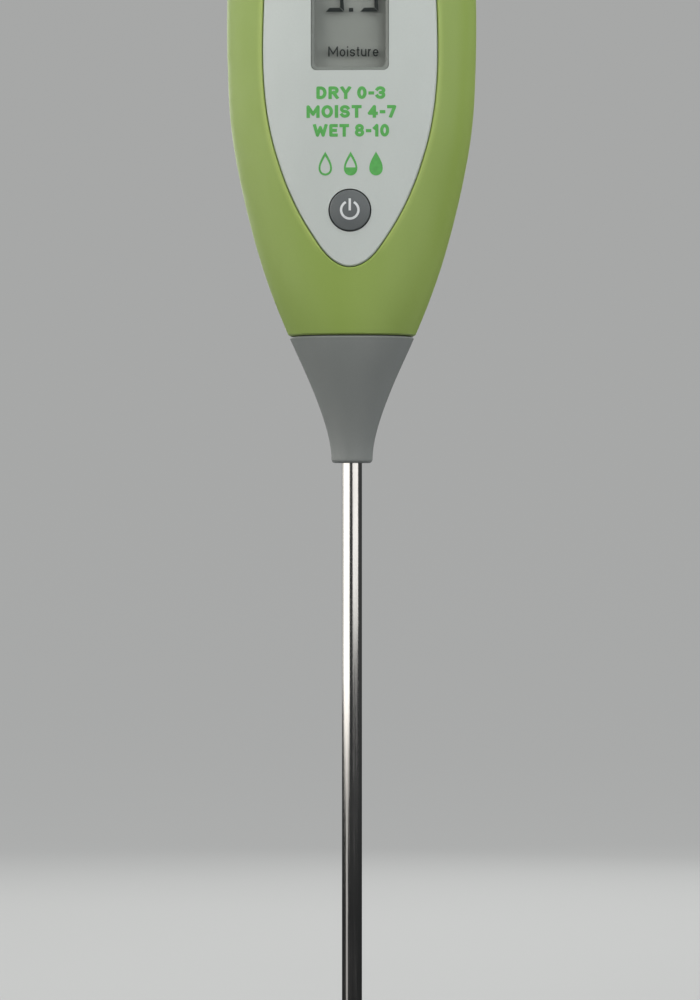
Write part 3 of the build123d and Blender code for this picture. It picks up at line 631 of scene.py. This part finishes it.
def paint_lip_highlight(mat, colour, strength):
    """Painted highlight: a paler band, about a millimetre wide, painted on the shell's rounded lip beside the face
    plate, where the lip would catch light.
    """
    lo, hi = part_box("face_plate")
    n = 24
    zs = [lo.z + (hi.z - lo.z) * i / (n - 1) for i in range(n)]
    widths = []
    for z in zs:
        a, b = 0.0, 0.024
        if surface_y(0.0001, min(max(z, lo.z + 2e-5), hi.z - 2e-5)) is None and surface_y(0.004, z) is None and (z < 0.06):
            widths.append(0.0)
            continue
        for _ in range(14):
            c = (a + b) / 2
            if c > 0.009 or z < 0.07:
                inside = surface_y(c, z) is not None
            else:
                inside = True
            a, b = (c, b) if inside else (a, c)
        widths.append(a)
    slopes = [(widths[min(i + 1, n - 1)] - widths[max(i - 1, 0)]) / (zs[min(i + 1, n - 1)] - zs[max(i - 1, 0)]) for i in range(n)]
    nt = mat.node_tree
    p = next(k for k in nt.nodes if k.type == "BSDF_PRINCIPLED")
    before = p.inputs["Base Color"].links[0].from_socket

    def math_node(op, a, b):
        k = nt.nodes.new("ShaderNodeMath")
        k.operation = op
        for socket, value in ((k.inputs[0], a), (k.inputs[1], b)):
            if value is None:
                continue
            if isinstance(value, (int, float)):
                socket.default_value = value
            else:
                nt.links.new(value, socket)
        return k.outputs[0]

    def ranged(value, a, b, c, d, smooth=True):
        k = nt.nodes.new("ShaderNodeMapRange")
        if smooth:
            k.interpolation_type = "SMOOTHSTEP"
        nt.links.new(value, k.inputs["Value"])
        for name, x in (("From Min", a), ("From Max", b), ("To Min", c), ("To Max", d)):
            k.inputs[name].default_value = x
        return k.outputs[0]

    coords = nt.nodes.new("ShaderNodeTexCoord")
    xyz = nt.nodes.new("ShaderNodeSeparateXYZ")
    nt.links.new(coords.outputs["Object"], xyz.inputs[0])
    ramp = nt.nodes.new("ShaderNodeValToRGB")
    ramp.color_ramp.interpolation = "LINEAR"
    stops = ramp.color_ramp.elements
    while len(stops) < n:
        stops.new(0.5)
    for i in range(n):
        stops[i].position = i / (n - 1)
    for i in range(n):
        steep = abs(slopes[i])
        stops[i].color = (widths[i] / 0.025, 1 / math.sqrt(1 + steep * steep), max(0.0, min(1.0, 2.0 - steep)), 1.0)
    nt.links.new(ranged(xyz.outputs["Z"], lo.z, hi.z, 0.0, 1.0, smooth=False), ramp.inputs["Fac"])
    rgb = nt.nodes.new("ShaderNodeSeparateColor")
    nt.links.new(ramp.outputs["Color"], rgb.inputs[0])
    width = math_node("MULTIPLY", rgb.outputs[0], 0.025)
    away = math_node("SUBTRACT", math_node("ABSOLUTE", xyz.outputs["X"], None), width)
    away = math_node("MULTIPLY", away, rgb.outputs[1])
    # band: mask of the painted highlight along the lip, fading out over about a millimetre
    band = ranged(away, 0.0004, 0.0015, 1.0, 0.0)
    band = math_node("MULTIPLY", band, ranged(away, -0.0005, 0.0001, 0.0, 1.0))
    band = math_node("MULTIPLY", band, rgb.outputs[2])
    band = math_node("MULTIPLY", band, ranged(xyz.outputs["Y"], -0.009, -0.0105, 0.0, strength))
    band = math_node("MULTIPLY", band, ranged(xyz.outputs["Z"], lo.z + 0.0005, lo.z + 0.006, 0.0, 1.0))
    band = math_node("MULTIPLY", band, ranged(xyz.outputs["Z"], hi.z - 0.0005, hi.z - 0.004, 0.0, 1.0))
    # mixes the painted highlight colour into the shell's own colour
    mix = nt.nodes.new("ShaderNodeMix")
    mix.data_type = "RGBA"
    nt.links.new(band, mix.inputs[0])
    nt.links.new(before, mix.inputs[6])
    mix.inputs[7].default_value = colour
    nt.links.new(mix.outputs[2], p.inputs["Base Color"])


# painted highlight: paler green band along the shell's lip beside the face plate
paint_lip_highlight(MATS["housing_green"], srgb(180, 200, 108), 0.62)


def drape(bm, proud=0.03e-3, node="face_plate"):
    """Lays flat lettering on the plate: the front stands proud by that much and the back sinks in a little."""
    front = min(v.co.y for v in bm.verts)
    for v in bm.verts:
        y = surface_y(v.co.x, v.co.z)
        v.co.y = (y if y is not None else -12.4e-3) + (-proud if abs(v.co.y - front) < 1e-7 else 0.05e-3)
    return bm


btn_lo, btn_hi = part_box("power_button")
BX, BZ = (btn_lo.x + btn_hi.x) / 2, (btn_lo.z + btn_hi.z) / 2
LINES = [      # words, baseline and middle against the button's middle, width
    ("DRY 0-3", 21.85e-3, 0.2e-3, 13.6e-3),
    ("MOIST 4-7", 18.16e-3, 0.3e-3, 17.7e-3),
    ("WET 8-10", 14.44e-3, 0.25e-3, 15.0e-3),
]
for i, (words, z, x, width) in enumerate(LINES):
    bm = thicken(lettering(words, 0.255, 2.5e-3, BX + x, BZ + z, width=width, gap=0.13, space=0.32), -12.5e-3, -12.4e-3)
    new_object("legend_line_%d" % (i + 1), drape(bm), INK_GREEN, "housing")


def drop_outline(cx, cz, r, n=40):
    """A water drop: round below, drawn up to a point."""
    pts = []
    tip = 2.15 * r
    for i in range(n):
        t = 2 * pi * i / n
        # a piriform-like blend
        s = (1 - cos(t)) / 2
        z = cz - r + (r + tip) * (1 - s) ** 1.0
        x = cx + r * 1.02 * sin(t) * (s ** 0.62) * 1.18
        pts.append((x, z))
    return ccw(pts)


def ring_prism(bm, outer, inner, y0, y1):
    n = len(outer)
    vo0 = [bm.verts.new((x, y0, z)) for x, z in outer]
    vi0 = [bm.verts.new((x, y0, z)) for x, z in inner]
    vo1 = [bm.verts.new((x, y1, z)) for x, z in outer]
    vi1 = [bm.verts.new((x, y1, z)) for x, z in inner]
    for i in range(n):
        j = (i + 1) % n
        bm.faces.new((vo0[i], vo0[j], vi0[j], vi0[i]))
        bm.faces.new((vo1[i], vi1[i], vi1[j], vo1[j]))
        bm.faces.new((vo0[i], vo1[i], vo1[j], vo0[j]))
        bm.faces.new((vi0[i], vi0[j], vi1[j], vi1[i]))


bm = bmesh.new()
DROP_Z = BZ + 8.3e-3
for cx, fill in ((-4.85e-3, 0.0), (0.15e-3, 0.5), (5.15e-3, 1.0)):
    r = 1.5e-3
    outer = drop_outline(cx, DROP_Z, r)
    if fill == 1.0:
        prism(bm, outer, -12.5e-3, -12.4e-3)
    else:
        inner = drop_outline(cx, DROP_Z, r - 0.42e-3)
        ring_prism(bm, outer, inner, -12.5e-3, -12.4e-3)
        if fill > 0:
            level = DROP_Z + 0.15e-3
            low = [p for p in inner if p[1] <= level]
            # keep the order of the lower arc
            idx = [i for i, p in enumerate(inner) if p[1] <= level]
            start = next(i for i in idx if (i - 1) % len(inner) not in idx)
            pool = []
            k = start
            while k % len(inner) in idx and len(pool) < len(idx):
                pool.append(inner[k % len(inner)])
                k += 1
            if len(pool) > 3:
                prism(bm, ccw(pool), -12.5e-3, -12.4e-3)
bmesh.ops.recalc_face_normals(bm, faces=bm.faces)
new_object("legend_drops", drape(bm), INK_GREEN, "housing")

# ------------------------------------------------------------------ power symbol
bm = bmesh.new()


def cap_y(x, z):
    ok, at, nrm, idx = NODES["power_button"].ray_cast(Vector((x, -0.05, z)), Vector((0, 1, 0)))
    return at.y if ok else btn_lo.y


RING, HALF = 1.71, 0.235          # mm
ring = [(RING * cos(radians(90 + 35 + 290 * i / 40)), RING * sin(radians(90 + 35 + 290 * i / 40))) for i in range(41)]
bar = [(0.0, 0.12 + 0.32 * i) for i in range(7)]
polys = strokes_union([ring, bar], HALF)
for ex, ez in (ring[0], ring[-1]):
    polys.append([(ex + HALF * cos(2 * pi * q / 18), ez + HALF * sin(2 * pi * q / 18)) for q in range(18)])
bm = thicken(flat_mesh(polys, lambda u, v: (BX + u * MM, BZ + v * MM)), -13e-3, -12.9e-3)
for v in bm.verts:
    v.co.y = cap_y(v.co.x, v.co.z) + (-0.03e-3 if abs(v.co.y + 13e-3) < 1e-7 else 0.05e-3)
new_object("power_symbol", bm, INK_WHITE, "button")

# ------------------------------------------------------------------ camera
TARGET = Vector((-0.0004, 0.0, -0.0074))
AZ = radians(2.0)
DIST = 0.80
cam_data = bpy.data.cameras.new("camera")
cam = bpy.data.objects.new("camera", cam_data)
bpy.context.scene.collection.objects.link(cam)
cam_data.sensor_width = 36.0
cam_data.sensor_fit = "AUTO"
cam_data.lens = 144.0
back = Vector((sin(AZ), -cos(AZ), 0.0))
cam.location = TARGET + back * DIST
cam.rotation_mode = "QUATERNION"
cam.rotation_quaternion = (-back).to_track_quat("-Z", "Y")
cam_data.clip_start, cam_data.clip_end = 0.05, 60.0
bpy.context.scene.camera = cam

# ------------------------------------------------------------------ stage
FLOOR_Z = CAD_BOX[0][2] - 0.0005
bm = bmesh.new()
profile = [(0.0, 0.0), (1.0, 0.0), (2.4, 0.0), (3.0, 0.03), (3.6, 0.16), (4.2, 0.45), (4.8, 1.0), (5.2, 1.8), (5.4, 3.0), (5.45, 5.0)]
STEPS = 64
rings = []
for r, h in profile:
    if r == 0:
        rings.append([bm.verts.new((0, 0, FLOOR_Z + h))])
    else:
        rings.append([bm.verts.new((r * cos(2 * pi * i / STEPS), r * sin(2 * pi * i / STEPS), FLOOR_Z + h)) for i in range(STEPS)])
for a, b in zip(rings, rings[1:]):
    for i in range(STEPS):
        j = (i + 1) % STEPS
        if len(a) == 1:
            bm.faces.new((a[0], b[i], b[j]))
        else:
            bm.faces.new((a[i], b[i], b[j], a[j]))
me = bpy.data.meshes.new("backdrop")
bm.to_mesh(me)
bm.free()
for p in me.polygons:
    p.use_smooth = True
backdrop = bpy.data.objects.new("backdrop", me)
bpy.context.scene.collection.objects.link(backdrop)
bd = Mat("backdrop_pale", srgb(112, 113, 112), rough=0.9, spec=0.1)
bd.colour(bd.mix(bd.remap(bd.noise(3.0, detail=2), 0.3, 0.7, 0, 1), srgb(111, 112, 111), srgb(114, 115, 114)))
bd.p.inputs["Emission Color"].default_value = (0.93, 0.94, 0.93, 1)
bd.p.inputs["Emission Strength"].default_value = 0.40
me.materials.append(bd.m)
backdrop.visible_glossy = False
backdrop.visible_diffuse = False
backdrop.visible_shadow = False


def softbox(name, azimuth, elevation, distance, w, h, power, colour=(1, 1, 1), aim=(0, 0, 0.03), glossy=True):
    li = bpy.data.lights.new(name, "AREA")
    li.shape = "RECTANGLE"
    li.size, li.size_y = w, h
    li.energy = power
    li.color = colour
    ob = bpy.data.objects.new(name, li)
    bpy.context.scene.collection.objects.link(ob)
    a, e = radians(azimuth), radians(elevation)
    aim = Vector(aim)
    ob.location = aim + Vector((sin(a) * cos(e), -cos(a) * cos(e), sin(e))) * distance
    ob.rotation_mode = "QUATERNION"
    ob.rotation_quaternion = (aim - ob.location).to_track_quat("-Z", "Y")
    ob.visible_camera = False
    ob.visible_glossy = glossy
    return ob


# tall side boxes, seen in the probe as its white bands, and plain ones that only fill
softbox("key_left", -67, 0, 0.75, 1.28, 0.72, 5.3, (1.0, 0.99, 0.97), aim=(0, 0, 0.255))
softbox("side_right", 43, 0, 0.75, 1.00, 0.675, 3.0, (0.98, 0.99, 1.0), aim=(0, 0, 0.278))
softbox("rim_left", -126, 0, 0.75, 0.55, 0.70, 1.0, (1.0, 1.0, 0.98), aim=(0, 0, 0.265))
softbox("strip_low", -60, 0, 0.75, 0.30, 0.15, 0.07, (1, 1, 1), aim=(0, 0, -0.185))
softbox("top_front", -12, 66, 1.0, 0.9, 0.8, 4.3, (1, 1, 1), glossy=False)
softbox("back_left", -170, 22, 1.0, 0.75, 0.8, 3.6, (1, 0.99, 0.97), aim=(0, 0, 0.02))
softbox("back_right", 165, 18, 1.0, 0.6, 0.8, 2.0, (0.98, 0.99, 1.0), aim=(0, 0, 0.02), glossy=False)
softbox("rim_right", 120, 12, 1.0, 0.6, 0.7, 3.4, (0.98, 0.99, 1.0), aim=(0, 0, 0.08), glossy=False)
softbox("fill_right", 50, 36, 1.0, 0.7, 0.7, 2.1, (1, 1, 1), aim=(0, 0, 0.08), glossy=False)

world = bpy.data.worlds.new("studio")
bpy.context.scene.world = world
world.use_nodes = True
wn = world.node_tree.nodes
bg = next(n for n in wn if n.type == "BACKGROUND")
bg.inputs["Color"].default_value = (0.9, 0.95, 1.0, 1)
bg.inputs["Strength"].default_value = 0.06
# metal and gloss see a darker band at eye level, a pale floor below it and a soft ceiling above
wl = world.node_tree.links
path = wn.new("ShaderNodeLightPath")
coords = wn.new("ShaderNodeTexCoord")
split = wn.new("ShaderNodeSeparateXYZ")
wl.new(coords.outputs["Generated"], split.inputs[0])
levels = wn.new("ShaderNodeMapRange")
levels.interpolation_type = "SMOOTHSTEP"
levels.inputs["From Min"].default_value = -0.16
levels.inputs["From Max"].default_value = -0.42
levels.inputs["To Min"].default_value = 0.022
levels.inputs["To Max"].default_value = 0.42
wl.new(split.outputs["Z"], levels.inputs["Value"])
ceiling = wn.new("ShaderNodeMapRange")
ceiling.interpolation_type = "SMOOTHSTEP"
ceiling.inputs["From Min"].default_value = 0.2
ceiling.inputs["From Max"].default_value = 0.7
ceiling.inputs["To Min"].default_value = 0.0
ceiling.inputs["To Max"].default_value = 0.30
wl.new(split.outputs["Z"], ceiling.inputs["Value"])
horizon = wn.new("ShaderNodeMapRange")
horizon.interpolation_type = "SMOOTHSTEP"
horizon.inputs["From Min"].default_value = -0.12
horizon.inputs["From Max"].default_value = -0.02
horizon.inputs["To Min"].default_value = 0.0
horizon.inputs["To Max"].default_value = 0.038
wl.new(split.outputs["Z"], horizon.inputs["Value"])
upper = wn.new("ShaderNodeMath")
upper.operation = "ADD"
wl.new(horizon.outputs[0], upper.inputs[0])
wl.new(ceiling.outputs[0], upper.inputs[1])
both = wn.new("ShaderNodeMath")
both.operation = "ADD"
wl.new(levels.outputs[0], both.inputs[0])
wl.new(upper.outputs[0], both.inputs[1])
pick = wn.new("ShaderNodeMix")
pick.data_type = "FLOAT"
pick.inputs[2].default_value = 0.06
wl.new(path.outputs["Is Glossy Ray"], pick.inputs[0])
wl.new(both.outputs[0], pick.inputs[3])
wl.new(pick.outputs[0], bg.inputs["Strength"])

scene = bpy.context.scene
scene.view_settings.view_transform = "Standard"
scene.view_settings.look = "None"
scene.view_settings.exposure = 0.0
scene.view_settings.gamma = 1.0
